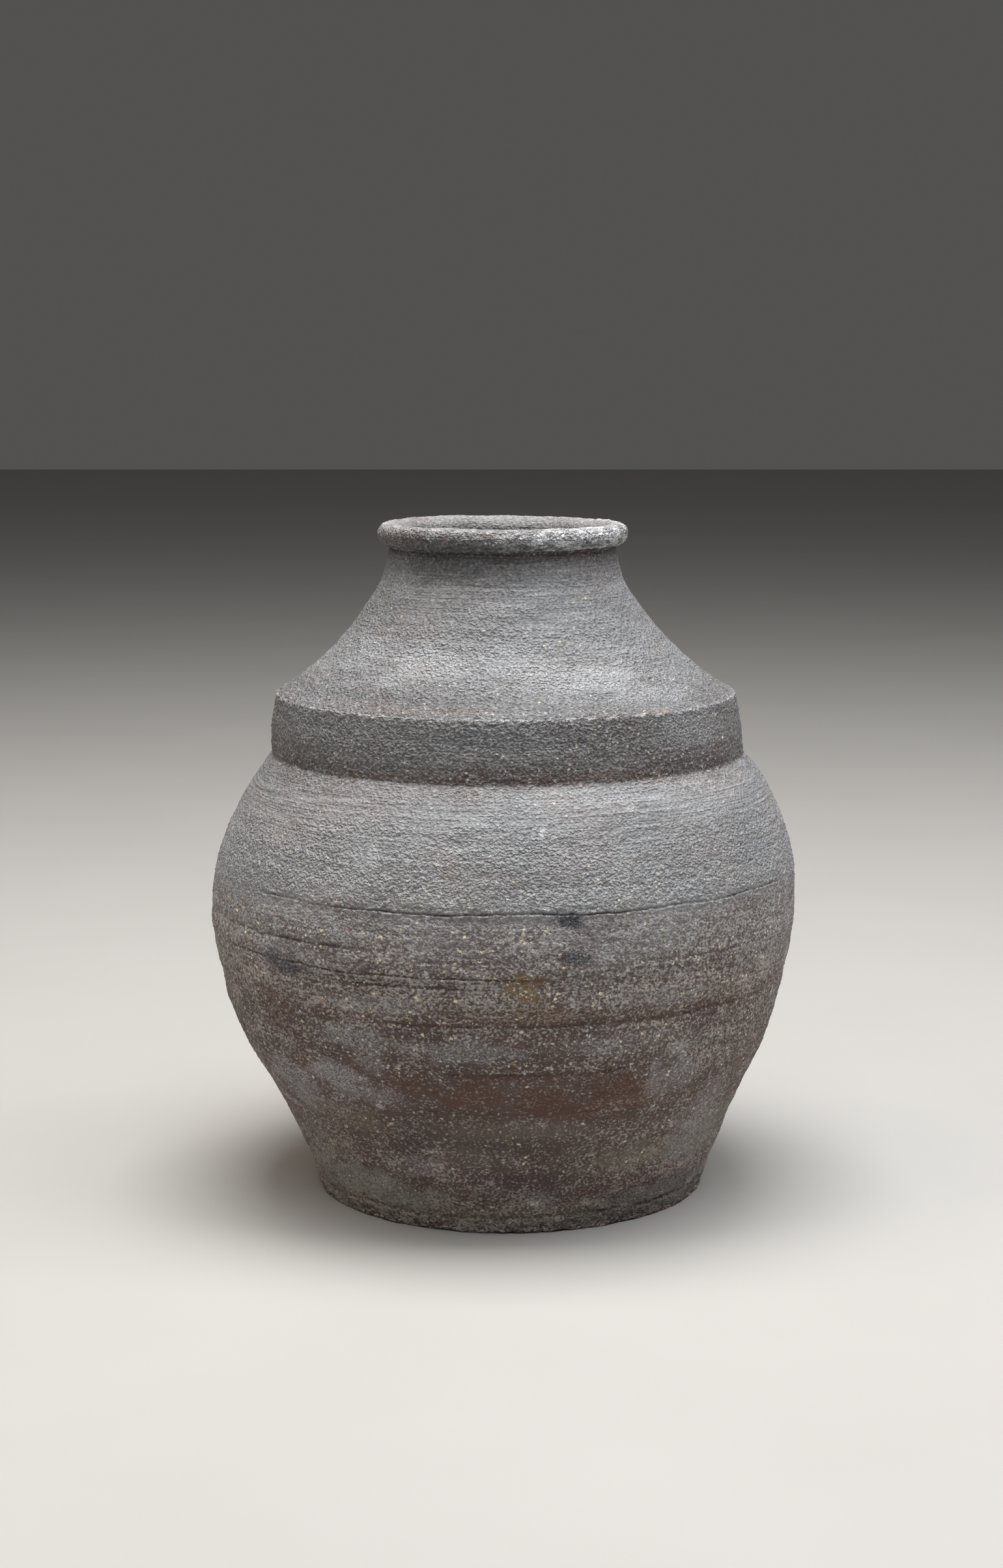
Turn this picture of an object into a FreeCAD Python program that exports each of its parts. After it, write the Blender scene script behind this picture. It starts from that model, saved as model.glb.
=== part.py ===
"""Hand-built black clay pot, in the clay sections that its potter joined together.

The pot stands on the XY plane and its axis is +Z, with the origin at the middle of its base.
From the bottom it is a slab, a flaring foot wall, four belly coils, the upper belly, an upright
collar band, a hollow-sided shoulder, a short neck and a rolled rim.  Each section is turned
about the pot's axis.  Neighbours meet face to face on a conical lap that falls inwards, as a
coil is smeared down over the inside edge of the one below.  All sizes are in millimetres.
"""

import FreeCAD, Part
import math
import os
import Sketcher

# General sizes: alias, value, meaning.
GENERAL_SIZES = (
    ("base_radius", 73.3, "outer radius of the slab where it meets the table"),
    ("base_edge_round", 1.5, "rounding of the slab's lower edge"),
    ("pot_height", 250.0, "height of the rim's crest"),
    ("mouth_radius", 37.0, "clear radius of the mouth"),
    ("bead_crest_radius", 42.7, "radius of the circle along the rim's crest"),
    ("bead_radius", 3.9, "radius of the rolled rim's outer side"),
)

# The laps between sections, from the bottom up.  Each has its outer corner's radius and height,
# how far it runs towards the axis, and how far it falls on the way.
LAPS = (
    ("slab_lap", 75.2, 6.3, 15.2, -1.7),
    ("foot_lap", 94.7, 50.0, 9.3, 3.0),
    ("coil_one_lap", 101.7, 65.5, 8.9, 4.0),
    ("coil_two_lap", 106.5, 83.7, 8.3, 4.5),
    ("coil_three_lap", 109.4, 101.0, 7.4, 5.0),
    ("belly_lap", 108.2, 123.4, 6.3, 5.0),
    ("collar_lap", 87.9, 164.8, 6.9, 4.8),
    ("shoulder_lap", 85.3, 187.0, 6.0, 3.6),
    ("neck_lap", 45.0, 229.0, 4.7, 4.0),
    ("rim_lap", 41.8, 242.3, 4.8, 3.8),
)
LAP_SIZES = ("radius", "height", "run", "drop")

# The wall sections between two laps, with the radius of curvature of the outside and the inside.
# A positive curve swells away from the pot's axis, and a negative one is hollow towards it.
WALLS = (
    ("foot_wall", -320.0, 75.0),
    ("belly_coil_1", 80.0, 85.0),
    ("belly_coil_2", 200.0, 150.0),
    ("belly_coil_3", 300.0, 200.0),
    ("belly_coil_4", 126.0, 115.0),
    ("upper_belly", 95.0, 88.0),
    ("collar_band", 120.0, 120.0),
    ("shoulder_cone", -104.0, -112.0),
    ("neck_ring", -93.0, -90.0),
)
BASE_NAME = "base_disc"
RIM_NAME = "rim_coil"
FULL_TURN = 360
HAIR = 1e-6


def fill_sheet(doc):
    """The spreadsheet that drives every sketch, one row for each size."""
    sheet = doc.addObject("Spreadsheet::Sheet", "Sizes")
    rows = list(GENERAL_SIZES)
    for lap in LAPS:
        for size, value in zip(LAP_SIZES, lap[1:]):
            rows.append((f"{lap[0]}_{size}", value, f"{size} of the {lap[0]}"))
    for name, outside, inside in WALLS:
        rows.append((f"{name}_outer_curve", abs(outside), f"curve of the {name}, outside"))
        rows.append((f"{name}_inner_curve", abs(inside), f"curve of the {name}, inside"))
    for number, (alias, value, meaning) in enumerate(rows, start=1):
        sheet.set(f"A{number}", meaning)
        sheet.set(f"B{number}", str(value))
        sheet.setAlias(f"B{number}", alias)
    doc.recompute()
    return sheet


def outer_corner(lap):
    """Expressions for a lap's outer corner: radius and height."""
    return f"Sizes.{lap}_radius", f"Sizes.{lap}_height"


def inner_corner(lap):
    """Expressions for a lap's inner corner: radius and height."""
    return (
        f"Sizes.{lap}_radius - Sizes.{lap}_run",
        f"Sizes.{lap}_height - Sizes.{lap}_drop",
    )


def evaluated(sheet, corner):
    """The point in the sketch that a pair of expressions stands for."""
    x, y = (float(sheet.evalExpression(text)) for text in corner)
    return FreeCAD.Vector(x, y, 0)


def new_body(doc, name):
    """An empty body, and its sketch on the upright plane through the pot's axis."""
    body = doc.addObject("PartDesign::Body", name)
    body.Label = name
    sketch = body.newObject("Sketcher::SketchObject", f"{name}_profile")
    plane = next(f for f in body.Origin.OriginFeatures if f.Role == "XZ_Plane")
    sketch.AttachmentSupport = [(plane, "")]
    sketch.MapMode = "FlatFace"
    return body, sketch


def arc_between(start, end, radius, swell):
    """The shorter arc from start to end.  A positive swell bows it to the right of its chord."""
    chord = end - start
    side = FreeCAD.Vector(chord.y, -chord.x, 0).normalize() * math.copysign(1, swell)
    rise = radius - math.sqrt(radius**2 - (chord.Length / 2) ** 2)
    return Part.Arc(start, (start + end) / 2 + side * rise, end)


def end_at(sketch, edge, point):
    """Which end of an edge is at a point: 1 for its start, 2 for its end."""
    return min((1, 2), key=lambda end: (sketch.getPoint(edge, end) - point).Length)


def bind(sketch, constraint, expression):
    """Adds a dimension and ties it to the spreadsheet."""
    number = sketch.addConstraint(constraint)
    sketch.setExpression(f"Constraints[{number}]", expression)


def draw_loop(sheet, sketch, corners, edges):
    """Draws a closed profile and ties it to the spreadsheet.

    corners are pairs of expressions.  Edge i runs from corner i to the next one, and is None
    for a straight line, or the expression of a radius with the side that it bows to.
    """
    points = [evaluated(sheet, corner) for corner in corners]
    count = len(points)
    for i, edge in enumerate(edges):
        start = points[i]
        end = points[(i + 1) % count]
        if edge is None:
            sketch.addGeometry(Part.LineSegment(start, end), False)
        else:
            radius = float(sheet.evalExpression(edge[0]))
            sketch.addGeometry(arc_between(start, end, radius, edge[1]), False)
    for i, point in enumerate(points):
        before = (i - 1) % count
        here = end_at(sketch, i, point)
        joined = (before, end_at(sketch, before, point), i, here)
        sketch.addConstraint(Sketcher.Constraint("Coincident", *joined))
        place_corner(sketch, (i, here), point, corners[i])
    for i, edge in enumerate(edges):
        if edge is not None:
            radius = float(sheet.evalExpression(edge[0]))
            bind(sketch, Sketcher.Constraint("Radius", i, radius), edge[0])


def place_corner(sketch, vertex, point, corner):
    """Holds a vertex at its radius and height, or on the pot's axis or the table."""
    for direction, value, expression, axis in (
        ("DistanceX", point.x, corner[0], -2),
        ("DistanceY", point.y, corner[1], -1),
    ):
        if abs(value) < HAIR:
            sketch.addConstraint(Sketcher.Constraint("PointOnObject", *vertex, axis))
        else:
            bind(sketch, Sketcher.Constraint(direction, -1, 1, *vertex, value), expression)


def turn(body, sketch):
    """Turns a profile once round the pot's axis."""
    solid = body.newObject("PartDesign::Revolution", f"{body.Name}_turned")
    solid.Profile = sketch
    solid.ReferenceAxis = (sketch, ["V_Axis"])
    solid.Angle = FULL_TURN
    sketch.Visibility = False
    body.Tip = solid
    return solid


def make_base(doc, sheet):
    """The slab: its flat top is the pot's floor, and its lower edge is rounded."""
    body, sketch = new_body(doc, BASE_NAME)
    lap = LAPS[0][0]
    floor_height = inner_corner(lap)[1]
    corners = (("0", "0"), ("Sizes.base_radius", "0"), outer_corner(lap), inner_corner(lap))
    corners += (("0", floor_height),)
    draw_loop(sheet, sketch, corners, (None,) * len(corners))
    solid = turn(body, sketch)
    doc.recompute()
    lower_edge = next(
        f"Edge{number}"
        for number, edge in enumerate(solid.Shape.Edges, start=1)
        if edge.BoundBox.ZMax < HAIR and isinstance(edge.Curve, Part.Circle)
    )
    rounding = body.newObject("PartDesign::Fillet", f"{BASE_NAME}_edge")
    rounding.Base = (solid, [lower_edge])
    rounding.setExpression("Radius", "Sizes.base_edge_round")
    body.Tip = rounding


def make_wall(doc, sheet, number):
    """One wall section, from the lap below it to the lap above."""
    name, outside, inside = WALLS[number]
    lower = LAPS[number][0]
    upper = LAPS[number + 1][0]
    body, sketch = new_body(doc, name)
    corners = (
        outer_corner(lower),
        outer_corner(upper),
        inner_corner(upper),
        inner_corner(lower),
    )
    edges = (
        (f"Sizes.{name}_outer_curve", outside),
        None,
        (f"Sizes.{name}_inner_curve", -inside),
        None,
    )
    draw_loop(sheet, sketch, corners, edges)
    turn(body, sketch)


def make_rim(doc, sheet):
    """The rolled rim: a round bead outside, an easy curve inside, and a plain round mouth."""
    body, sketch = new_body(doc, RIM_NAME)
    lap = LAPS[-1][0]
    roll_in = "Sizes.bead_crest_radius - Sizes.mouth_radius"
    widest = ("Sizes.bead_crest_radius + Sizes.bead_radius", "Sizes.pot_height - Sizes.bead_radius")
    crest = ("Sizes.bead_crest_radius", "Sizes.pot_height")
    mouth_top = ("Sizes.mouth_radius", f"Sizes.pot_height - ({roll_in})")
    corners = (outer_corner(lap), widest, crest, mouth_top, inner_corner(lap))
    bead = ("Sizes.bead_radius", 1)
    draw_loop(sheet, sketch, corners, (bead, bead, (roll_in, 1), None, None))
    turn(body, sketch)


def check(doc):
    """Stops the build if any object failed or any section isn't one sound solid."""
    for item in doc.Objects:
        if {"Invalid", "Error"} & set(item.State):
            raise RuntimeError(f"{item.Label} failed: {item.State}")
    for body in sections(doc):
        shape = body.Shape
        if shape.isNull() or not shape.isValid() or len(shape.Solids) != 1:
            raise RuntimeError(f"{body.Label} isn't one sound solid")
        print(f"{body.Label}: {shape.Volume / 1000:.1f} cm3")


def sections(doc):
    """The pot's sub-parts."""
    return [item for item in doc.Objects if item.TypeId == "PartDesign::Body"]


def main():
    doc = FreeCAD.newDocument("BlackClayPot")
    sheet = fill_sheet(doc)
    make_base(doc, sheet)
    for number in range(len(WALLS)):
        make_wall(doc, sheet, number)
    make_rim(doc, sheet)
    for body in sections(doc):
        body.Placement = FreeCAD.Placement()
    doc.recompute()
    check(doc)
    os.makedirs("parts", exist_ok=True)
    for body in sections(doc):
        body.Shape.exportStep(f"parts/{body.Label}.step")


main()
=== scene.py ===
"""Looks of a hand-built black clay pot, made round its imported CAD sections.

Each clay section is rebuilt as a closed shell on its CAD outline, with the relief that hands,
wiping and coarse temper left on it.  The relief and the colours are worked out once for the whole
pot, on one grid, and the grid is then cut at the laps between sections, so neighbours share their
edges exactly.  Lengths in the code are in millimetres, and meshes are written in metres.
Azimuth 0 faces the camera, along -Y, and grows towards +X.
"""

import itertools
import math

import bpy
import numpy as np
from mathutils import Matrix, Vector
from mathutils.bvhtree import BVHTree


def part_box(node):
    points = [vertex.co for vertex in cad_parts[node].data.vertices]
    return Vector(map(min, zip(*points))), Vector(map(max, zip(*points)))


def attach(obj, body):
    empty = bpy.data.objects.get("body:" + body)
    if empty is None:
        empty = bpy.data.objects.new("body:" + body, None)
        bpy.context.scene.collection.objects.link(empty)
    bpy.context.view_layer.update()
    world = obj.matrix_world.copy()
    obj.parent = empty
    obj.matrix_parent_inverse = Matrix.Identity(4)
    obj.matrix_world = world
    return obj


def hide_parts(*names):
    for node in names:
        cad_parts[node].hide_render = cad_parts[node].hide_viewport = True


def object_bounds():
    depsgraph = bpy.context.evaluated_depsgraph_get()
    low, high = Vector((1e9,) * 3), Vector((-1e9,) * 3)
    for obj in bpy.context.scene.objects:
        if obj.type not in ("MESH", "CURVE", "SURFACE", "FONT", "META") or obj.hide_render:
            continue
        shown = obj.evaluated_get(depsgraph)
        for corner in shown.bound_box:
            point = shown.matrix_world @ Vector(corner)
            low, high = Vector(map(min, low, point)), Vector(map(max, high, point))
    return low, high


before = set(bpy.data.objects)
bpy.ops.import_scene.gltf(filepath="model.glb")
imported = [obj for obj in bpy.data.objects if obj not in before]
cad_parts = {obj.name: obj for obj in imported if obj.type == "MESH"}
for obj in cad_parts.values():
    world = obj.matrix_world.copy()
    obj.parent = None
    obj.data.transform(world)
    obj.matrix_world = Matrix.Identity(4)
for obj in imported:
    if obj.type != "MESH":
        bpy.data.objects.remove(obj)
cad_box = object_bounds()

MM = 0.001
SEED = 41

# Grid of the outside: columns round the pot, and the distance between its rows, which lie
# closer within a short reach of a joint, where the fine cracks are.
COLUMNS = 1024
ROW_STEP = 0.68
JOINT_ROW_STEP = 0.30
JOINT_REACH = 2.4
# Most rows in one section, so that its mesh stays under 200,000 triangles.
MOST_ROWS = 80
INSIDE_COLUMNS = COLUMNS // 2
INSIDE_ROW_STEP = 2.4

SECTIONS = sorted(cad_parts, key=lambda node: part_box(node)[1].z)
BASE, RIM = SECTIONS[0], SECTIONS[-1]
# The rim's outer roll and the foot's edge, as the CAD has them.
BEAD_RADIUS = 3.9
FOOT_ROUND = 1.5
# Raised grains of temper scattered over the outside.
GRAIN_COUNT = 6000


# ---------------------------------------------------------------- outline, read from the CAD

def cad_tree():
    """All CAD sections as one surface that rays can be cast at, in millimetres."""
    corners, faces = [], []
    for node in SECTIONS:
        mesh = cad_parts[node].data
        first = len(corners)
        corners += [vertex.co / MM for vertex in mesh.vertices]
        faces += [[first + i for i in polygon.vertices] for polygon in mesh.polygons]
    return BVHTree.FromPolygons(corners, faces)


def radius_at(tree, height, outside):
    """Radius of the pot's wall at a height, seen from far outside or from the axis."""
    hair = 0.01
    start = Vector((500.0 if outside else 0.0, hair, height))
    way = Vector((-1.0 if outside else 1.0, 0.0, 0.0))
    return tree.ray_cast(start, way)[0].x


def spaced(points, step, end_step):
    """The same line with its points a step apart, or an end step within reach of its ends."""
    points = np.asarray(points, float)
    along = np.r_[0, np.cumsum(np.hypot(*np.diff(points, axis=0).T))]
    fine = np.linspace(0, along[-1], 2000)
    near_end = np.minimum(fine, along[-1] - fine) < JOINT_REACH
    rows = np.r_[0, np.cumsum(np.where(near_end, 1 / end_step, 1 / step)[1:] * np.diff(fine))]
    count = min(max(2, math.ceil(rows[-1])), MOST_ROWS)
    places = np.interp(np.linspace(0, rows[-1], count + 1), rows, fine)
    return np.column_stack([np.interp(places, along, points[:, i]) for i in (0, 1)])


def wall_line(tree, low, high, outside, samples=240):
    """Points (radius, height) up one side of the wall."""
    hair = 0.02
    heights = np.linspace(low + hair, high - hair, samples)
    line = [(radius_at(tree, height, outside), height) for height in heights]
    line[0] = (line[0][0], low)
    line[-1] = (line[-1][0], high)
    return line


def arc(centre, radius, start, end, samples=60):
    """Points (radius, height) along an arc, with its angles in radians."""
    turns = np.linspace(start, end, samples)
    return [(centre[0] + radius * math.cos(a), centre[1] + radius * math.sin(a)) for a in turns]


def rim_line(tree, neck_top):
    """The rim's outline: round the bead, over the crest and down into the mouth."""
    low, high = (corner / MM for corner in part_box(RIM))
    crest_radius = high.x - BEAD_RADIUS
    bead_centre = (crest_radius, high.z - BEAD_RADIUS)
    mouth = radius_at(tree, low.z + BEAD_RADIUS, False)
    roll = crest_radius - mouth
    first = -math.pi + math.asin((bead_centre[1] - neck_top) / BEAD_RADIUS)
    line = arc(bead_centre, BEAD_RADIUS, first, math.pi / 2)
    line += arc((crest_radius, high.z - roll), roll, math.pi / 2, math.pi)[1:]
    return line + [(mouth, low.z)]


def base_line(tree, wall_foot):
    """The slab's outline from under its middle, round its lower edge and up its side."""
    edge = radius_at(tree, FOOT_ROUND, True)
    round_centre = (edge - FOOT_ROUND, FOOT_ROUND)
    line = [(round_centre[0], 0.0)] + arc(round_centre, FOOT_ROUND, -math.pi / 2, 0, 12)[1:]
    return line + wall_line(tree, FOOT_ROUND, wall_foot, True)[1:]


def read_outlines():
    """For each section, its outside line going up and its inside line going up."""
    tree = cad_tree()
    tops = {node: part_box(node)[1].z / MM for node in SECTIONS}
    lows = {node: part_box(node)[0].z / MM for node in SECTIONS}
    wall_foot = lows[SECTIONS[1]]
    outside, inside = {BASE: base_line(tree, wall_foot)}, {}
    for below, node in zip(SECTIONS, SECTIONS[1:]):
        low = wall_foot if below == BASE else tops[below]
        floor = tops[BASE] if below == BASE else lows[node]
        if node == RIM:
            outside[node] = rim_line(tree, low)
            continue
        above = SECTIONS[SECTIONS.index(node) + 1]
        outside[node] = wall_line(tree, low, tops[node], True)
        inside[node] = wall_line(tree, floor, lows[above], False)
    return outside, inside


# ---------------------------------------------------------------- noise and grids

# Numbers that scramble a cell's place into the number of its slope.
PRIMES = (73856093, 19349663, 83492791)
SEED_SPREAD = 2654435761
SCRAMBLE = 2246822519
WORD = 0xFFFFFFFF
DIRECTION_COUNT = 4096
DIRECTIONS = np.random.default_rng(SEED).normal(size=(DIRECTION_COUNT, 3))
DIRECTIONS = (DIRECTIONS / np.linalg.norm(DIRECTIONS, axis=1)[:, None]).astype(np.float32)

# Turns the noise's cells, so that none of their edges runs level or upright on the wall.
SKEW = ((0.80, -0.36, 0.48), (0.60, 0.48, -0.64), (0.0, 0.80, 0.60))


def noise(places, seed):
    """Smooth noise, about -1 to 1, at places given in cells of the noise: x, y and z arrays."""
    cells = [np.floor(part) for part in places]
    inner = [part - cell for part, cell in zip(places, cells)]
    fade = [part**3 * (part * (part * 6 - 15) + 10) for part in inner]
    keys = [cell.astype(np.int64) * prime for cell, prime in zip(cells, PRIMES)]
    total = 0.0
    for corner in itertools.product((0, 1), repeat=3):
        key, weight = seed * SEED_SPREAD, 1.0
        for axis, side in enumerate(corner):
            key = key ^ (keys[axis] + side * PRIMES[axis])
            weight = weight * (fade[axis] if side else 1 - fade[axis])
        key = (key ^ (key >> 15)) * SCRAMBLE & WORD
        slopes = DIRECTIONS[(key ^ (key >> 13)) & (DIRECTION_COUNT - 1)]
        rise = sum(slopes[..., axis] * (inner[axis] - side) for axis, side in enumerate(corner))
        total = total + weight * rise
    return total * 1.6


def smooth(value, low, high):
    """0 below low, 1 above high, and an easy step between them."""
    part = np.clip((value - low) / (high - low), 0, 1)
    return part * part * (3 - 2 * part)


def hump(value, width):
    """1 at 0, falling to nothing a few widths away."""
    return np.exp(-((value / width) ** 2))


class Grid:
    """An outline turned round the axis: rows go along the outline and columns go round the pot."""

    def __init__(self, line, columns):
        self.radius = line[:, 0:1].astype(np.float32)
        self.height = line[:, 1:2].astype(np.float32)
        steps = np.hypot(*np.diff(line, axis=0).T)
        self.along = np.r_[0, np.cumsum(steps)][:, None].astype(np.float32)
        self.turn = (2 * np.pi * np.arange(columns) / columns)[None, :].astype(np.float32)
        self.azimuth = (np.degrees(self.turn) + 180) % 360 - 180
        self.shape = (len(line), columns)
        slope = np.gradient(line, axis=0)
        slope /= np.hypot(*slope.T)[:, None]
        self.out = np.column_stack([slope[:, 1], -slope[:, 0]]).astype(np.float32)

    def noise(self, across, up, seed, rows=slice(None)):
        """Noise with cells of a width round the pot and a height along its outline."""
        radius = self.radius[rows]
        right = radius * np.sin(self.turn) / across
        back = -radius * np.cos(self.turn) / across
        level = self.along[rows] / up
        return noise([sum(a * b for a, b in zip(row, (right, back, level))) for row in SKEW], seed)

    def layers(self, across, up, seed, octaves=3, keep=0.55):
        """Noise with finer and weaker layers added."""
        total = 0.0
        for octave in range(octaves):
            share = 2**octave
            total = total + keep**octave * self.noise(across / share, up / share, seed + octave)
        return total

    def along_at(self, height):
        """Distance along the outline at which it first reaches a height."""
        return float(self.along[np.argmax(self.height[:, 0] >= height - 1e-3), 0])

    def patch(self, azimuth, height, half_width, half_height):
        """A soft oval patch round a place on the wall: 1 in its middle and 0 outside."""
        apart = (self.azimuth - azimuth + 180) % 360 - 180
        across = np.radians(apart) * self.radius / half_width
        up = (self.along - self.along_at(height)) / half_height
        return 1 - smooth(np.hypot(across, up), 0.25, 1.15)

    def stamp(self, field, azimuth, along, half_width, half_height):
        """Adds a small round-topped grain to a field, in place."""
        span = (along - half_height, along + half_height)
        rows = slice(*np.searchsorted(self.along[:, 0], span))
        if rows.start == rows.stop:
            return
        columns = self.shape[1]
        spacing = 2 * math.pi * float(self.radius[rows.start, 0]) / columns
        middle = (azimuth % 360) / 360 * columns
        reach = math.ceil(half_width / spacing)
        across = np.arange(math.floor(middle) - reach, math.ceil(middle) + reach + 1)
        sideways = (across - middle) * spacing / half_width
        upwards = (self.along[rows] - along) / half_height
        field[rows, across % columns] += np.clip(1 - sideways**2 - upwards**2, 0, 1)

    def points(self, relief, oval=0.0):
        """Places of the grid's points, in metres, with relief, an uneven radius and drift."""
        radius = self.radius + oval + relief * self.out[:, 0:1]
        height = self.height + relief * self.out[:, 1:2]
        right, back = sway(height)
        x = radius * np.sin(self.turn) + right
        y = -radius * np.cos(self.turn) + back
        return np.stack([x, y, np.maximum(height, 0)], -1) * MM


# ---------------------------------------------------------------- the pot's hand-made shape

# How far the wall's middle strays from the axis: height, towards +X, towards +Y.
SWAY = (
    (0, 1.9, -0.4),
    (25, 1.9, 0.2),
    (50, 0.7, 0.8),
    (75, -0.6, 0.6),
    (105, -0.7, 0.0),
    (130, 0.2, -0.5),
    (155, 1.3, -0.3),
    (170, 0.3, 0.3),
    (187, 0.0, 0.6),
    (210, -0.6, 0.2),
    (235, -1.1, -0.4),
    (250, -1.1, -0.6),
)

# Lines left where one clay section was luted to the next: the section under the line, where the
# line starts and ends in azimuth, its depth and its width.
SEAM_MARKS = (
    ("belly_coil_4", -56, 70, 0.60, 0.38),
    ("belly_coil_4", 96, 171, 0.6, 0.5),
    ("belly_coil_4", -150, -104, 0.5, 0.6),
    ("belly_coil_3", -64, 12, 0.55, 0.42),
    ("belly_coil_3", 100, 160, 0.5, 0.5),
    ("belly_coil_2", -28, 66, 0.34, 0.7),
    ("belly_coil_2", -160, -95, 0.5, 0.7),
    ("belly_coil_1", -16, 34, 0.35, 0.5),
    ("belly_coil_1", 120, 185, 0.45, 0.6),
    ("foot_wall", -24, 30, 0.22, 0.5),
    ("foot_wall", -140, -80, 0.3, 0.6),
    ("base_disc", -180, 180, 0.35, 0.8),
)
# Drag lines that follow no seam: height, start and end azimuth, depth, width.
DRAG_MARKS = (
    (97.2, -33, -2, 0.6, 0.45),
    (109.3, -68, -20, 0.6, 0.45),
    (104.5, 20, 60, 0.35, 0.5),
    (106.2, -20, 6, 0.3, 0.4),
    (103.4, -44, -8, 0.3, 0.4),
    (114.5, -48, -12, 0.2, 0.5),
    (132.0, -20, 40, 0.28, 0.45),
    (140.5, -50, 5, 0.28, 0.45),
    (156.0, -40, 30, 0.14, 0.4),
    (160.5, -10, 50, 0.14, 0.4),
    (221.0, -14, 14, 0.35, 0.5),
    (226.0, -6, 16, 0.3, 0.5),
    (229.5, -20, 4, 0.3, 0.5),
    (90.0, 95, 170, 0.3, 0.6),
    (114.0, -170, -120, 0.3, 0.6),
    (148.0, 80, 150, 0.2, 0.5),
)
# Soft rings that the fingers left round the joints: height, how far in, width.
FINGER_RINGS = (
    (29.0, 0.25, 6.0),
    (40.0, -0.2, 6.0),
    (57.0, -0.25, 4.0),
    (65.5, 0.45, 2.4),
    (76.0, -0.45, 4.5),
    (84.2, 0.95, 2.6),
    (90.5, -0.4, 4.0),
    (98.5, 0.5, 2.6),
    (104.0, -0.3, 3.0),
    (121.8, 0.35, 2.2),
    (127.0, -0.2, 3.0),
    (146.0, 0.15, 4.0),
    (190.5, 0.2, 2.5),
    (216.0, -0.2, 5.0),
    (228.0, 0.3, 3.0),
)


def sway(height):
    """The wall's drift at a height, in X and Y."""
    heights, right, back = zip(*SWAY)
    return np.interp(height, heights, right), np.interp(height, heights, back)


def add_line(grid, field, along, start, end, depth, width, seed):
    """Adds a groove that wanders and breaks, with lifted clay under it, to a field in place."""
    rows = slice(*np.searchsorted(grid.along[:, 0], (along - 6, along + 6)))
    level = slice(rows.start, rows.start + 1)
    middle, half = (start + end) / 2, (end - start) / 2
    apart = np.abs((grid.azimuth - middle + 180) % 360 - 180)
    presence = 1 - smooth(apart, half - 9, half + 1) if half < 180 else 1.0
    wander = 0.8 * grid.noise(24, 90, seed, level) + 0.3 * grid.noise(6, 90, seed + 1, level)
    wander = wander + 0.15 * grid.noise(1.8, 90, seed + 3, level)
    strength = np.clip(0.8 + 0.6 * grid.noise(11, 90, seed + 2, level), 0.25, 1.2) * presence
    off = grid.along[rows] - along - wander
    lifted = smooth(grid.noise(3.5, 1.8, seed, rows), -0.1, 0.5)
    groove = hump(off, width) - (0.3 + 0.5 * lifted) * hump(off + 1.6 * width, width)
    field[rows] += depth * strength * groove


def scatter(grid, rng, count):
    """Random places on the wall, even by area: azimuth and distance along the outline."""
    weights = grid.radius[:, 0] * np.gradient(grid.along[:, 0])
    rows = rng.choice(len(weights), count, p=weights / weights.sum())
    return rng.uniform(-180, 180, count), grid.along[rows, 0] + rng.uniform(-0.3, 0.3, count)


# How the clay was left at heights up the outside: how gritty it is, how much it is lined, and
# how many pale grains of temper show.
FINISH = (
    (0, 0.75, 0.1, 0.45),
    (12, 0.5, 0.1, 0.30),
    (22, 0.4, 0.1, 0.10),
    (46, 0.35, 0.15, 0.12),
    (60, 0.4, 0.3, 0.35),
    (70, 0.75, 0.3, 0.75),
    (82, 0.75, 0.4, 0.65),
    (95, 0.60, 0.5, 0.95),
    (110, 0.65, 0.5, 0.80),
    (122, 0.75, 0.35, 0.60),
    (130, 0.85, 0.3, 0.40),
    (143, 0.60, 0.55, 0.20),
    (156, 0.35, 0.9, 0.12),
    (163, 0.60, 0.6, 0.30),
    (166, 0.68, 0.5, 0.18),
    (186, 0.68, 0.45, 0.20),
    (190, 0.70, 0.2, 0.22),
    (205, 0.50, 0.5, 0.06),
    (222, 0.40, 0.6, 0.06),
    (240, 0.30, 0.6, 0.10),
)


def make_masks(grid, marks):
    """Where each kind of finish is, from 0 to 1, over the whole outside."""
    ones = np.ones(grid.shape, np.float32)
    shoulder, rim_foot = marks["collar_band"], marks["neck_ring"]
    rim = smooth(grid.along, rim_foot, rim_foot + 2.0)
    heights, gritty, lined, grains = zip(*FINISH)
    outer_side = smooth(grid.out[:, 0:1], -0.3, 0.6)
    gritty = np.interp(grid.height, heights, gritty) * (1 - rim) + (0.1 + 0.6 * outer_side) * rim
    lined = np.interp(grid.height, heights, lined) * (1 - rim) + 0.45 * rim
    gritty = np.clip(gritty + 0.30 * grid.layers(30, 12, 31, 3), 0, 1)
    lined = np.clip(lined + 0.35 * grid.layers(45, 8, 35, 2), 0, 1)
    grains = np.interp(grid.height, heights, grains) * (1 - rim) + 0.4 * rim * outer_side
    grains = grains * np.clip(0.8 + 1.1 * grid.layers(16, 7, 38, 2), 0.15, 2.0)
    mouth = smooth(grid.along[-1] - grid.along, 0.0, 2.0)
    return {
        "rim": rim * ones,
        "gritty": gritty * (1 - 0.45 * smooth(lined, 0.5, 1.0)),
        "lined": lined,
        "grains": grains,
        "edge": hump(grid.along - shoulder, 0.8) * ones,
        "foot": (1 - smooth(grid.height, 5.0, 9.0)) * ones,
        "mouth": mouth * ones,
    }


def out_of_round(grid):
    """How much wider or narrower than a circle the wall is, in millimetres."""
    oval = 0.5 * np.cos(2 * grid.turn + 0.02 * grid.height)
    return oval + 0.3 * np.cos(3 * grid.turn + 1.1)


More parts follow.
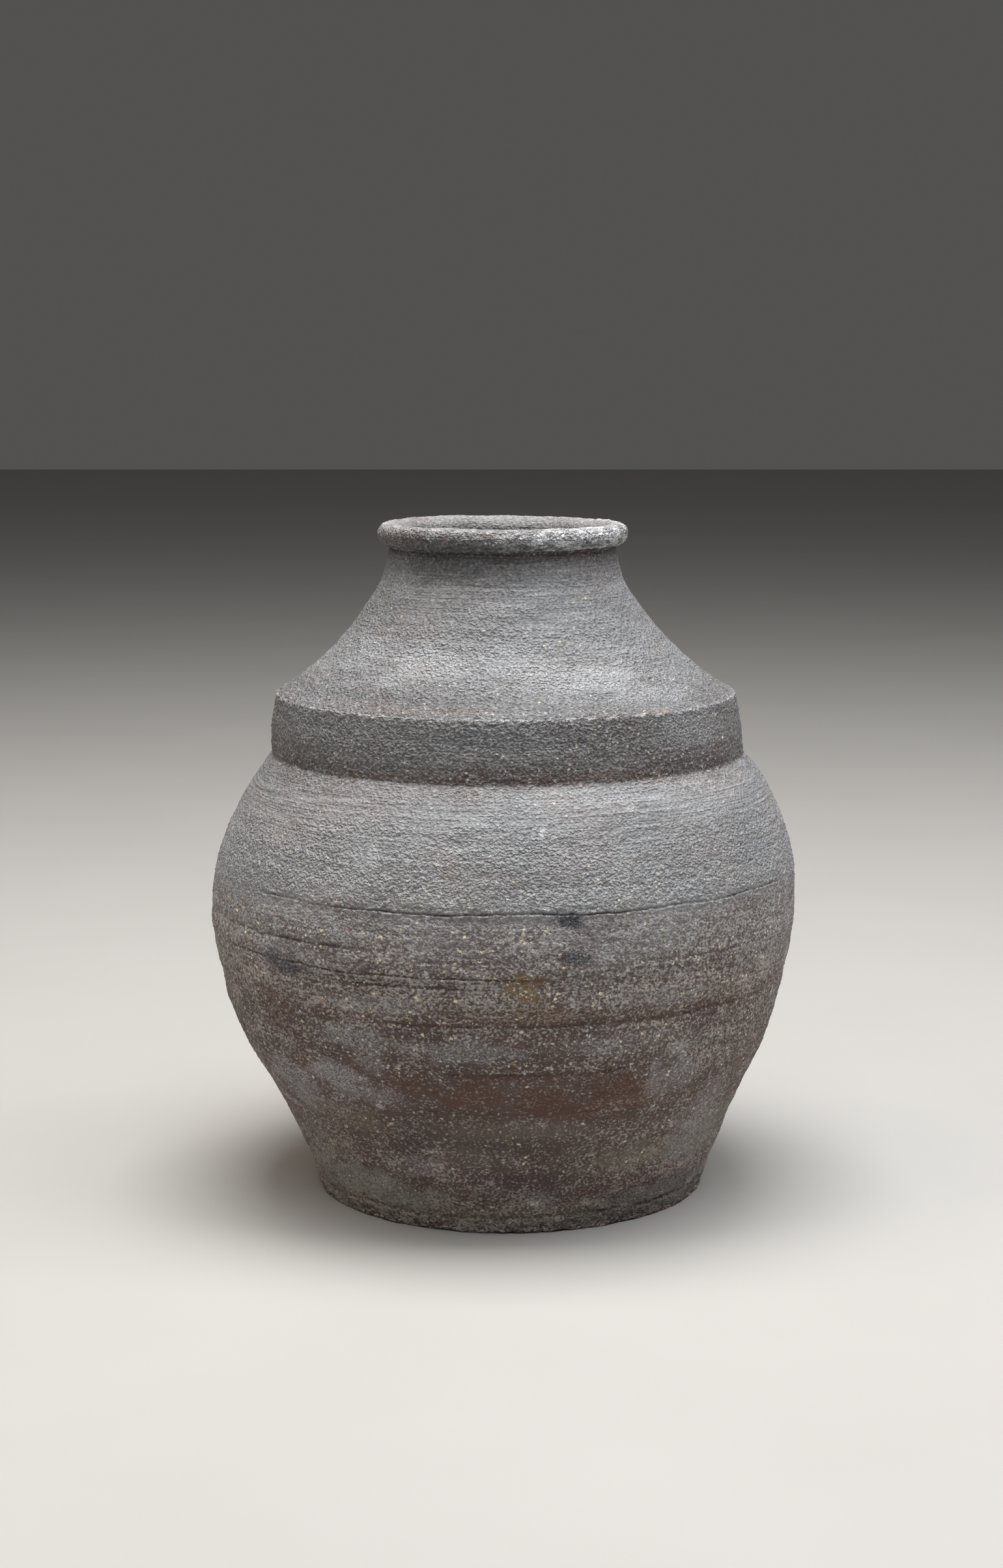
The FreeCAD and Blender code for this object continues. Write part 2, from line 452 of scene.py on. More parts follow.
def outside_relief(grid, marks, masks):
    """How far the outside stands off the CAD outline, in millimetres, and what made it."""
    rng = np.random.default_rng(SEED)
    rim, edge, foot = masks["rim"], masks["edge"], masks["foot"]
    coarse = 0.35 + 0.65 * masks["gritty"]

    relief = 0.30 * grid.noise(260, 15, 11) + 0.16 * grid.noise(150, 5.5, 12)
    relief = relief + 0.35 * grid.noise(60, 40, 13) + 0.13 * grid.layers(9, 6, 14, 2)
    for place, depth, width in FINGER_RINGS:
        off = grid.along - grid.along_at(place)
        uneven = np.clip(0.75 + 0.6 * grid.noise(70, 90, 50 + int(place), slice(0, 1)), 0, 1.3)
        uneven = uneven * (0.65 + 0.35 * np.cos(2 * grid.turn))
        relief = relief - depth * uneven * hump(off, width)

    grit = 0.6 * grid.noise(2.3, 1.5, 17) + 0.5 * grid.noise(1.25, 0.95, 18)
    drag = grid.noise(14, 0.9, 19)
    relief = relief + 0.50 * coarse * grit + 0.18 * masks["lined"] * drag

    relief = relief + foot * 0.5 * grid.layers(7, 3.0, 21, 2)
    relief = relief + rim * (0.18 * grid.layers(13, 7, 24, 2) + 0.10 * grid.noise(2.4, 2.0, 27))
    relief = relief + edge * 0.13 * grid.layers(5, 90, 28, 3)
    relief = relief - hump(grid.along - marks["upper_belly"], 1.6) * 0.15
    relief = relief - hump(grid.along - marks["neck_ring"], 0.9) * 0.35

    cracks = np.zeros(grid.shape, np.float32)
    for number, (node, *mark) in enumerate(SEAM_MARKS):
        add_line(grid, cracks, marks[node], *mark, 40 + 3 * number)
    for number, (place, *mark) in enumerate(DRAG_MARKS):
        add_line(grid, cracks, grid.along_at(place), *mark, 90 + 3 * number)

    pits = 0.32 * smooth(grid.noise(3.0, 1.3, 141), 0.50, 0.78) * coarse
    grains = np.zeros(grid.shape, np.float32)
    places = scatter(grid, rng, GRAIN_COUNT)
    for azimuth, along, size in zip(*places, rng.uniform(0.55, 1.0, GRAIN_COUNT)):
        grid.stamp(grains, azimuth, along, size * 1.1, size * 0.8)
    grains = np.clip(grains, 0, 1) * masks["gritty"]

    relief = (relief - cracks - pits + 0.25 * grains) * masks["mouth"]
    return relief.astype(np.float32), {"grit": grit, "cracks": cracks, "pits": pits}


# ---------------------------------------------------------------- colours on the wall

# How pale the clay is at heights up the outside, with two dips of painted shade noted below, and
# how warm: 0 is bluish grey and 1 brown.
SHADES = (
    (0, 0.21, 1.0),
    (8, 0.25, 1.0),
    (20, 0.170, 0.88),
    (42, 0.145, 0.86),
    (60, 0.132, 0.85),
    (72, 0.160, 0.75),
    (82, 0.172, 0.72),
    # The dip from 84.5 to 87.5 is painted shade under the coil that turns under above the groove
    # at 84.
    (84.5, 0.168, 0.9),
    (87.5, 0.182, 0.9),
    (91, 0.215, 0.72),
    (95, 0.215, 0.70),
    (105, 0.232, 0.50),
    (117, 0.258, 0.36),
    (124, 0.290, 0.12),
    (130, 0.285, 0.08),
    (137, 0.252, 0.06),
    (150, 0.212, 0.06),
    (160, 0.205, 0.08),
    (164, 0.215, 0.10),
    (166, 0.128, 0.20),
    (178, 0.125, 0.14),
    (186, 0.125, 0.12),
    (187.5, 0.118, 0.10),
    (193, 0.138, 0.06),
    (199, 0.178, 0.03),
    (210, 0.178, 0.0),
    (222, 0.160, 0.0),
    (229, 0.238, 0.02),
    # The fall to 241 is painted shadow under the rim's roll.
    (236, 0.130, 0.10),
    (241, 0.055, 0.20),
    (243, 0.185, 0.20),
    (250, 0.185, 0.12),
)
# Stains, by kind, with a few rows of painted shade and highlight noted below: kind, azimuth,
# height, half width, half height, strength.
STAINS = (
    ("rust", -18, 60, 18, 6, 0.8),
    ("rust", -6, 56, 20, 8, 0.9),
    ("rust", 7, 55, 18, 10, 1.0),
    ("rust", 24, 58, 20, 8, 1.0),
    ("rust", 16, 50, 26, 6, 0.8),
    ("rust", 2, 64, 60, 3, 0.8),
    # These two rust rows are painted shade under the coil's overhang above the groove at 84.
    ("rust", -20, 84, 50, 3, 0.35),
    ("rust", 40, 85, 40, 3, 0.4),
    ("rust", -49, 78, 18, 12, 0.8),
    ("rust", -45, 64, 7, 11, 0.6),
    ("rust", -56, 92, 14, 9, 0.4),
    ("rust", 43, 96, 10, 8, 0.5),
    ("rust", 8, 88, 26, 6, 0.4),
    ("rust", 20, 166.5, 50, 3.4, 0.6),
    ("rust", -22, 166, 30, 3, 0.5),
    ("rust", -4, 132, 20, 14, 0.3),
    ("rust", -50, 214, 14, 10, 0.3),
    ("rust", -30, 190, 44, 6, 0.3),
    ("rust", 150, 70, 90, 12, 0.8),
    ("rust", -120, 58, 50, 10, 0.8),
    ("rust", -150, 170, 60, 5, 0.4),
    ("rust", -52, 247, 24, 8, 0.4),
    ("rust", 44, 12, 62, 13, 0.75),
    ("rust", 50, 4, 60, 8, 0.9),
    ("rust", 28, 52, 18, 7, 0.75),
    ("ochre", 3.5, 97, 10, 7, 1.3),
    ("ochre", 8, 88, 16, 6, 0.4),
    ("ochre", -26, 245, 2, 1.4, 1.4),
    ("ochre", 40, 187.5, 7, 1.8, 0.8),
    ("ochre", 130, 92, 12, 6, 0.7),
    ("soot", 12, 121, 8, 3.0, 1.5),
    ("soot", 13, 108, 10, 4, 1.2),
    ("soot", -45, 100, 15, 6, 1.2),
    # These two soot rows are painted shade on the rim and the neck under it, on the left, away
    # from the light.
    ("soot", -30, 235, 22, 7, 0.5),
    ("soot", -30, 245, 30, 6, 0.6),
    ("soot", 0, 181, 60, 6, 0.22),
    ("soot", -32, 192, 60, 5, 0.45),
    ("soot", -5, 40, 40, 16, 0.3),
    ("soot", 4, 21, 40, 7, 0.4),
    ("soot", -44, 196, 40, 9, 0.15),
    ("soot", -18, 38, 22, 12, 0.4),
    ("soot", -130, 110, 22, 8, 0.8),
    ("soot", 100, 40, 60, 26, 0.4),
    ("soot", 45, 7, 60, 12, 0.7),
    ("soot", 52, 99, 20, 12, 0.25),
    ("soot", 0, 15, 36, 7, 0.35),
    ("beige", -44, 12, 50, 14, 0.95),
    ("beige", -60, 26, 40, 16, 0.5),
    ("beige", -10, 6, 60, 5, 0.7),
    ("beige", 34, 27, 34, 9, 0.9),
    ("beige", 60, 30, 36, 14, 0.9),
    ("beige", 2, 42, 40, 6, 0.55),
    ("beige", -44, 42, 34, 9, 0.6),
    ("beige", -12, 30, 16, 7, 0.45),
    ("beige", 160, 25, 90, 16, 0.6),
    ("beige", 10, 8, 70, 4, 0.4),
    ("bloom", -30, 76, 22, 7, 0.6),
    ("bloom", -8, 74, 30, 6, 0.5),
    ("bloom", 24, 75, 34, 6, 0.3),
    ("bloom", -37, 60, 16, 9, 0.85),
    ("bloom", -52, 52, 18, 14, 0.65),
    ("bloom", -27, 67, 9, 7, 0.5),
    ("bloom", 32, 59, 5, 12, 0.6),
    ("bloom", 37, 70, 8, 7, 0.5),
    ("bloom", -33, 116, 5, 7, 0.9),
    ("bloom", -27, 141, 3, 8, 0.6),
    ("bloom", 38, 60, 12, 12, 0.5),
    ("bloom", 54, 44, 18, 14, 0.4),
    ("bloom", -55, 24, 10, 12, 0.3),
    ("bloom", -24, 90, 24, 5, 0.5),
    ("bloom", 30, 92, 30, 5, 0.3),
    ("bloom", -34, 113, 20, 7, 0.35),
    ("bloom", 24, 112, 30, 9, 0.3),
    ("bloom", -30, 54, 18, 7, 0.55),
    ("bloom", 53, 31, 24, 18, 0.45),
    ("bloom", -44, 14, 44, 11, 0.5),
    ("bloom", -42, 104, 30, 8, 0.3),
    ("bloom", -22, 26, 9, 7, 0.45),
    ("bloom", 8, 13, 8, 5, 0.4),
    ("bloom", -53, 206, 18, 9, 0.5),
    ("bloom", -25, 203, 20, 9, 0.75),
    ("bloom", -36, 197, 12, 5, 0.5),
    ("bloom", 24, 198, 34, 10, 0.7),
    ("bloom", 3, 204, 16, 12, 0.45),
    ("bloom", 48, 192, 30, 5, 0.5),
    ("bloom", 22, 160, 62, 6, 0.5),
    ("bloom", 45, 155, 30, 9, 0.3),
    ("bloom", 0, 128, 90, 4, 0.3),
    # This bloom row is painted highlight on the rim's right, towards the light.
    ("bloom", 42, 247, 34, 6, 0.9),
    ("bloom", 52, 180, 24, 9, 0.35),
    ("bloom", 38, 192, 34, 4, 0.4),
    ("bloom", -2, 222, 20, 3, 0.6),
    ("bloom", 110, 150, 60, 12, 0.4),
    ("bloom", -100, 200, 40, 10, 0.4),
    ("bloom", 170, 80, 50, 8, 0.5),
    ("bloom", -28, 49.5, 2.4, 1.8, 2.2),
    ("bloom", 7, 150.0, 1.8, 2.2, 2.2),
    ("bloom", -6.5, 145.4, 1.5, 1.3, 1.8),
)
STAIN_KINDS = ("rust", "ochre", "soot", "beige", "bloom")


def stain_fields(grid):
    """Strength of each kind of stain over the outside, with ragged edges."""
    stains = {kind: np.zeros(grid.shape, np.float32) for kind in STAIN_KINDS}
    ragged = 0.55 * grid.layers(8, 4.5, 165, 4, 0.65)
    for kind, azimuth, place, wide, tall, strength in STAINS:
        patch = grid.patch(azimuth, place, wide, tall)
        body = smooth(patch + ragged * (patch > 0), 0.15, 0.95) * strength
        stains[kind] = np.maximum(stains[kind], body)
    return stains


def outside_fields(grid, masks, made):
    """Paleness, warmth, stains and finish at each point of the outside."""
    heights, tones, warmths = zip(*SHADES)
    height = np.maximum(grid.height, heights[-1] * (masks["rim"][:, 0:1] > 0.9))
    lower = 1 - smooth(grid.height, 60, 120)
    blotches = grid.layers(12, 8, 150, 4, 0.75)
    clouds = grid.layers(38, 22, 154, 2)
    streaks = grid.layers(45, 2.6, 157, 2)
    # The lower body is lighter towards its sides than in its front middle, which is painted light
    # from the sides. On the rim, the bead is darker where it does not face up, painted shade, and
    # paler on its right, painted highlight with some wear.
    crest = smooth(grid.out[:, 1:2], 0.1, 0.9)
    right = np.clip(1.8 * np.sin(grid.turn + 0.12), 0, 1)
    front = smooth(grid.out[:, 0:1], -0.5, 0.3)
    # Painted shade: the rim is darker where its bead faces down and into the mouth.
    tone = np.interp(height, heights, tones) * (1 - 0.45 * masks["rim"] * (1 - crest))
    # Painted light: the lower body is lit up towards its sides, away from its front middle.
    tone = tone * (1 + 0.30 * lower * (1 - hump(grid.azimuth + 4, 38)))
    tone = tone * np.exp((0.09 + 0.20 * lower) * blotches + 0.12 * clouds + 0.08 * streaks)
    warmth = np.interp(height, heights, warmths) + 0.16 * grid.layers(34, 20, 160, 3)
    # Painted highlight, with some wear: the rim's outer side is paler where it faces up and on its
    # right.
    rim_wear_and_highlight = masks["rim"] * (0.1 + 0.2 * crest + right) * front
    return {
        "tone": tone,
        "warmth": np.clip(warmth, 0, 1),
        **stain_fields(grid),
        # Painted shade in cracks and pits.
        "crevice_shade": np.clip(1.3 * made["cracks"] + 1.0 * made["pits"], 0, 1),
        # Painted highlight on raised grit and on lifted lips under the cracks.
        "ridge_highlight": np.clip(0.5 + 0.8 * made["grit"] - 2.0 * np.minimum(made["cracks"], 0), 0, 1),
        "gritty": masks["gritty"],
        "lined": masks["lined"],
        "grains": masks["grains"],
        "wear_and_highlight": np.clip(rim_wear_and_highlight + 0.6 * masks["edge"], 0, 1),
    }


FINISH_FIELDS = ("crevice_shade", "ridge_highlight", "gritty", "lined", "grains", "wear_and_highlight")
FIELD_NAMES = ("tone", "warmth", *STAIN_KINDS, *FINISH_FIELDS)
PLAIN_FIELDS = {"tone": 0.14, "warmth": 0.6, "ridge_highlight": 0.5, "gritty": 0.5, "grains": 0.2}


def inside_relief(grid):
    """Finger ridges and smears of the inside, as distance into the cavity."""
    ridges = 0.5 * grid.noise(120, 8, 201) + 0.25 * grid.noise(40, 3.5, 202)
    bumps = ridges + 0.3 * grid.layers(16, 10, 203, 3)
    return bumps * smooth(grid.along[-1] - grid.along, 0.0, 6.0)


def inside_fields(grid):
    """Paleness and warmth inside, darker away from the mouth: painted shade."""
    ones = np.ones(grid.shape, np.float32)
    fields = {name: PLAIN_FIELDS.get(name, 0.0) * ones for name in FIELD_NAMES}
    lit = smooth(grid.height, 180, 238)
    fields["tone"] = (0.10 + 0.10 * lit) * np.exp(0.2 * grid.layers(20, 12, 211, 3))
    fields["warmth"] = (0.45 - 0.2 * lit) + 0.15 * grid.layers(30, 20, 215, 2)
    return fields


# ---------------------------------------------------------------- meshes

class Surface:
    """A displaced grid with its fields and normals, which sections take their rings from."""

    def __init__(self, grid, relief, oval, fields, facing=1):
        self.points = grid.points(relief, oval)
        round_pot = np.roll(self.points, -1, 1) - np.roll(self.points, 1, 1)
        up_wall = np.gradient(self.points, axis=0)
        normals = np.cross(round_pot, up_wall) * facing
        self.normals = normals / np.linalg.norm(normals, axis=-1)[..., None]
        self.fields = np.stack([fields[name] * np.ones(grid.shape) for name in FIELD_NAMES], -1)

    def ring(self, row):
        """Places, normals and fields of one row."""
        return self.points[row], self.normals[row], self.fields[row]


class Shell:
    """Collects rings of points, and the faces between them, for one clay section."""

    def __init__(self):
        self.rings, self.faces, self.count = [], [], 0

    def ring(self, places, normals, fields):
        """Adds one ring of points, and returns their numbers."""
        numbers = np.arange(self.count, self.count + len(places))
        self.rings.append((places, normals, fields))
        self.count += len(places)
        return numbers

    def bridge(self, first, second):
        """Faces between two rings, facing outwards where the second is above the first."""
        if len(first) == len(second):
            corners = (first, np.roll(first, -1), np.roll(second, -1), second)
            self.faces.append(np.column_stack(corners))
        elif len(first) > len(second):
            self.faces.append(self.fan(first, second))
        else:
            self.faces.append(self.fan(second, first)[:, ::-1])

    @staticmethod
    def fan(fine, rough):
        """Triangles from a ring of many points to one with a whole part of their number."""
        share = len(fine) // len(rough)
        after = np.roll(rough, -1)
        middle = np.roll(fine, -(share // 2))[::share]
        triangles = [np.column_stack([rough, middle, after])]
        for step in range(share):
            start = np.roll(fine, -step)[::share]
            end = np.roll(fine, -step - 1)[::share]
            tip = rough if step < share / 2 else after
            triangles.append(np.column_stack([start, end, tip]))
        return np.vstack(triangles)

    def disc(self, edge, facing):
        """Fills the flat inside of a ring with smaller rings.  Facing is 1 for up, -1 for down."""
        steps, fine_steps, thinning = 12, 3, 4
        places, fields = self.ring_at(edge)
        middle = places.mean(0)
        normal = np.array((0.0, 0.0, facing))
        last = edge
        for number in range(1, steps + 1):
            share = 1 - number / steps
            keep = 1 if number <= fine_steps else thinning
            ring_places = (middle + (places - middle) * share)[::keep]
            if number == steps:
                ring_places = middle[None, :]
            count = len(ring_places)
            ring = self.ring(ring_places, np.tile(normal, (count, 1)), fields[:count])
            if count == 1:
                around = (last, np.roll(last, -1)) if facing > 0 else (np.roll(last, -1), last)
                self.faces.append(np.column_stack([*around, np.full(len(last), ring[0])]))
            elif facing > 0:
                self.bridge(last, ring)
            else:
                self.bridge(ring, last)
            last = ring

    def ring_at(self, numbers):
        """Places of a ring that is already here, and plain fields for what hangs on it."""
        first = 0
        for places, _, _ in self.rings:
            if first == numbers[0]:
                plain = np.array([PLAIN_FIELDS.get(name, 0.0) for name in FIELD_NAMES])
                return places, np.tile(plain, (len(places), 1))
            first += len(places)
        raise ValueError("no ring starts there")

    def build(self, name, material):
        """Writes the mesh, with its fields as attributes, and returns its object."""
        places, normals, fields = (np.vstack(part) for part in zip(*self.rings))
        loops = np.concatenate([face.ravel() for face in self.faces]).astype(np.int32)
        sizes = np.concatenate([np.full(len(face), face.shape[1]) for face in self.faces])
        starts = np.r_[0, np.cumsum(sizes)[:-1]].astype(np.int32)
        mesh = bpy.data.meshes.new(name)
        mesh.vertices.add(len(places))
        mesh.vertices.foreach_set("co", places.astype(np.float32).ravel())
        mesh.loops.add(len(loops))
        mesh.loops.foreach_set("vertex_index", loops)
        mesh.polygons.add(len(sizes))
        mesh.polygons.foreach_set("loop_start", starts)
        mesh.update(calc_edges=True)
        mesh.shade_smooth()
        for number, field in enumerate(FIELD_NAMES):
            values = np.ascontiguousarray(fields[:, number], np.float32)
            mesh.attributes.new(field, "FLOAT", "POINT").data.foreach_set("value", values)
        mesh.materials.append(material)
        if mesh.validate():
            raise RuntimeError(f"{name} has faulty faces")
        mesh.normals_split_custom_set_from_vertices(normals.tolist())
        piece = bpy.data.objects.new(name, mesh)
        bpy.context.scene.collection.objects.link(piece)
        return piece


def joined_lines(outlines, step, end_step):
    """All sections' lines as one, with the first and last row of each section."""
    rows, line = {}, []
    for node, outline in outlines.items():
        part = spaced(outline, step, end_step).tolist()
        start = max(len(line) - 1, 0)
        line += part[1:] if line else part
        rows[node] = (start, len(line) - 1)
    return np.array(line), rows


def build_pot(material):
    """Makes every section's shell, and returns them by node."""
    outlines, inlines = read_outlines()
    outer_line, outer_rows = joined_lines(outlines, ROW_STEP, JOINT_ROW_STEP)
    inner_line, inner_rows = joined_lines(inlines, INSIDE_ROW_STEP, INSIDE_ROW_STEP)
    outer, inner = Grid(outer_line, COLUMNS), Grid(inner_line, INSIDE_COLUMNS)
    marks = {node: float(outer.along[rows[1], 0]) for node, rows in outer_rows.items()}
    masks = make_masks(outer, marks)
    relief, made = outside_relief(outer, marks, masks)
    outside = Surface(outer, relief, out_of_round(outer), outside_fields(outer, masks, made))
    inside_bumps = -inside_relief(inner)
    inside = Surface(inner, inside_bumps, out_of_round(inner), inside_fields(inner), facing=-1)
    pieces = {}
    for node in SECTIONS:
        shell = Shell()
        start, end = outer_rows[node]
        rings = [shell.ring(*outside.ring(row)) for row in range(start, end + 1)]
        if node in inner_rows:
            low, high = inner_rows[node]
            rings += [shell.ring(*inside.ring(row)) for row in range(high, low - 1, -1)]
        if node == BASE:
            floor = shell.ring(*inside.ring(0))
            shell.disc(floor, 1)
            shell.disc(rings[0], -1)
            rings.append(floor)
        else:
            rings.append(rings[0])
        for first, second in zip(rings, rings[1:]):
            shell.bridge(first, second)
        pieces[node] = shell.build(f"{node}_clay", material)
    return pieces


# ---------------------------------------------------------------- material

class Graph:
    """Short calls that add nodes to a material and link them."""

    def __init__(self, name):
        self.material = bpy.data.materials.new(name)
        self.material.use_nodes = True
        self.tree = self.material.node_tree
        self.tree.nodes.clear()

    def node(self, kind, inputs=(), **settings):
        """A node with some of its settings and inputs given, as pairs of input and value."""
        made = self.tree.nodes.new(kind)
        for name, value in settings.items():
            setattr(made, name, value)
        for name, value in inputs:
            self.feed(made.inputs[name], value)
        return made

    def feed(self, socket, value):
        """Links an output to a socket, or sets the socket's own value."""
        if isinstance(value, bpy.types.NodeSocket):
            self.tree.links.new(value, socket)
        else:
            socket.default_value = value

    def field(self, name):
        """One of the mesh's fields."""
        return self.node("ShaderNodeAttribute", attribute_name=name).outputs["Fac"]

    def math(self, operation, first, second, clamp=False):
        """A sum, product or other operation on two numbers."""
        pairs = ((0, first), (1, second))
        return self.node("ShaderNodeMath", pairs, operation=operation, use_clamp=clamp).outputs[0]

    def add(self, *terms):
        """The sum of several numbers."""
        total = terms[0]
        for term in terms[1:]:
            total = self.math("ADD", total, term)
        return total

    def times(self, *terms):
        """The product of several numbers."""
        total = terms[0]
        for term in terms[1:]:
            total = self.math("MULTIPLY", total, term)
        return total

    def step(self, value, low, high, start=0.0, end=1.0):
        """An easy step from start to end as a value goes from low to high."""
        names = ("Value", "From Min", "From Max", "To Min", "To Max")
        pairs = zip(names, (value, low, high, start, end))
        return self.node("ShaderNodeMapRange", pairs, interpolation_type="SMOOTHSTEP").outputs[0]

    def mix(self, share, first, second):
        """Two colours mixed."""
        made = self.node("ShaderNodeMix", data_type="RGBA")
        for number, value in ((0, share), (6, first), (7, second)):
            self.feed(made.inputs[number], value)
        return made.outputs[2]

    def scaled(self, vector, factor):
        """A vector or colour times a number."""
        pairs = ((0, vector), ("Scale", factor))
        return self.node("ShaderNodeVectorMath", pairs, operation="SCALE").outputs[0]

    def stretched(self, source, across, up):
        """Coordinates with features made wider round the pot, or higher, by these factors."""
        scale = (1 / across, 1 / across, 1 / up)
        pairs = (("Vector", source), ("Scale", scale), ("Rotation", (0.6, 0.4, 0.9)))
        return self.node("ShaderNodeMapping", pairs).outputs[0]

    def noise(self, source, size, detail=2.0, roughness=0.55, output="Fac"):
        """Noise texture, from 0 to 1, with features of a size in millimetres."""
        values = (source, 1 / (size * MM), detail, roughness)
        pairs = zip(("Vector", "Scale", "Detail", "Roughness"), values)
        return self.node("ShaderNodeTexNoise", pairs).outputs[output]

    def cells(self, source, size):
        """Voronoi cells: distance from the nearest point, and that cell's three random numbers."""
        made = self.node("ShaderNodeTexVoronoi", (("Vector", source), ("Scale", 1 / (size * MM))))
        parts = self.node("ShaderNodeSeparateColor", (("Color", made.outputs["Color"]),))
        return made.outputs["Distance"], *parts.outputs

    def grains(self, source, size, radius, share):
        """Ragged grains in a share of the cells of a size: their mask and a random number."""
        distance, chance, shade, bulk = self.cells(self.stretched(source, 1.2, 1.0), size)
        ragged = self.add(distance, self.noise(source, size / 2, 1.0), -0.5)
        reach = self.step(bulk, 0.0, 1.0, radius * 0.55, radius * 1.15)
        mask = self.step(ragged, self.times(reach, 0.5), reach, 1.0, 0.0)
        return self.times(mask, self.math("LESS_THAN", chance, share)), shade

    def warped(self, source, size, reach):
        """Coordinates bent by noise, so that no grain comes out round."""
        wave = self.noise(source, size, 1.0, output="Color")
        pairs = ((0, wave), (1, (0.5, 0.5, 0.5)))
        centred = self.node("ShaderNodeVectorMath", pairs, operation="SUBTRACT").outputs[0]
        pairs = ((0, source), (1, self.scaled(centred, reach * MM)))
        return self.node("ShaderNodeVectorMath", pairs, operation="ADD").outputs[0]


# The fired clay itself and the pale dust on it, each from cool to warm.
COOL_CLAY = (0.067, 0.067, 0.070, 1)
WARM_CLAY = (0.098, 0.059, 0.047, 1)
COOL_DUST = (0.402, 0.411, 0.425, 1)
WARM_DUST = (0.412, 0.364, 0.328, 1)
CLAY_TONE, DUST_TONE = 0.066, 0.40
RUST = (0.104, 0.047, 0.030, 1)
OCHRE = (0.20, 0.115, 0.040, 1)
SOOT = (0.038, 0.040, 0.050, 1)
BLOOM = (0.46, 0.47, 0.49, 1)
BEIGE = (0.215, 0.185, 0.135, 1)
# Pale grit, cool and warm, which also paint glints on grit flecks; the cool one also paints the
# rim's highlight.
PALE_GRIT_AND_GLINT = (0.60, 0.61, 0.63, 1)
WARM_GRIT = (0.52, 0.48, 0.42, 1)
CREAM = (0.84, 0.74, 0.53, 1)
PINK = (0.50, 0.30, 0.19, 1)
# Stains over the dust: kind, strength in hollows, strength on what stands out, colour.
STAIN_PAINTS = (
    ("ochre", 0.75, 0.35, OCHRE),
    ("soot", 0.90, 0.35, SOOT),
    ("beige", 0.30, 0.80, BEIGE),
    ("bloom", 0.10, 0.90, BLOOM),
)


# Sizes of the material's fine features, in millimetres.
PEBBLE_SIZE, SAND_SIZE, LINE_SIZE = 0.80, 0.50, 0.70
GRIT_SIZE, GRAIN_SIZE = 1.05, 1.25
LINE_STRETCH = 40.0


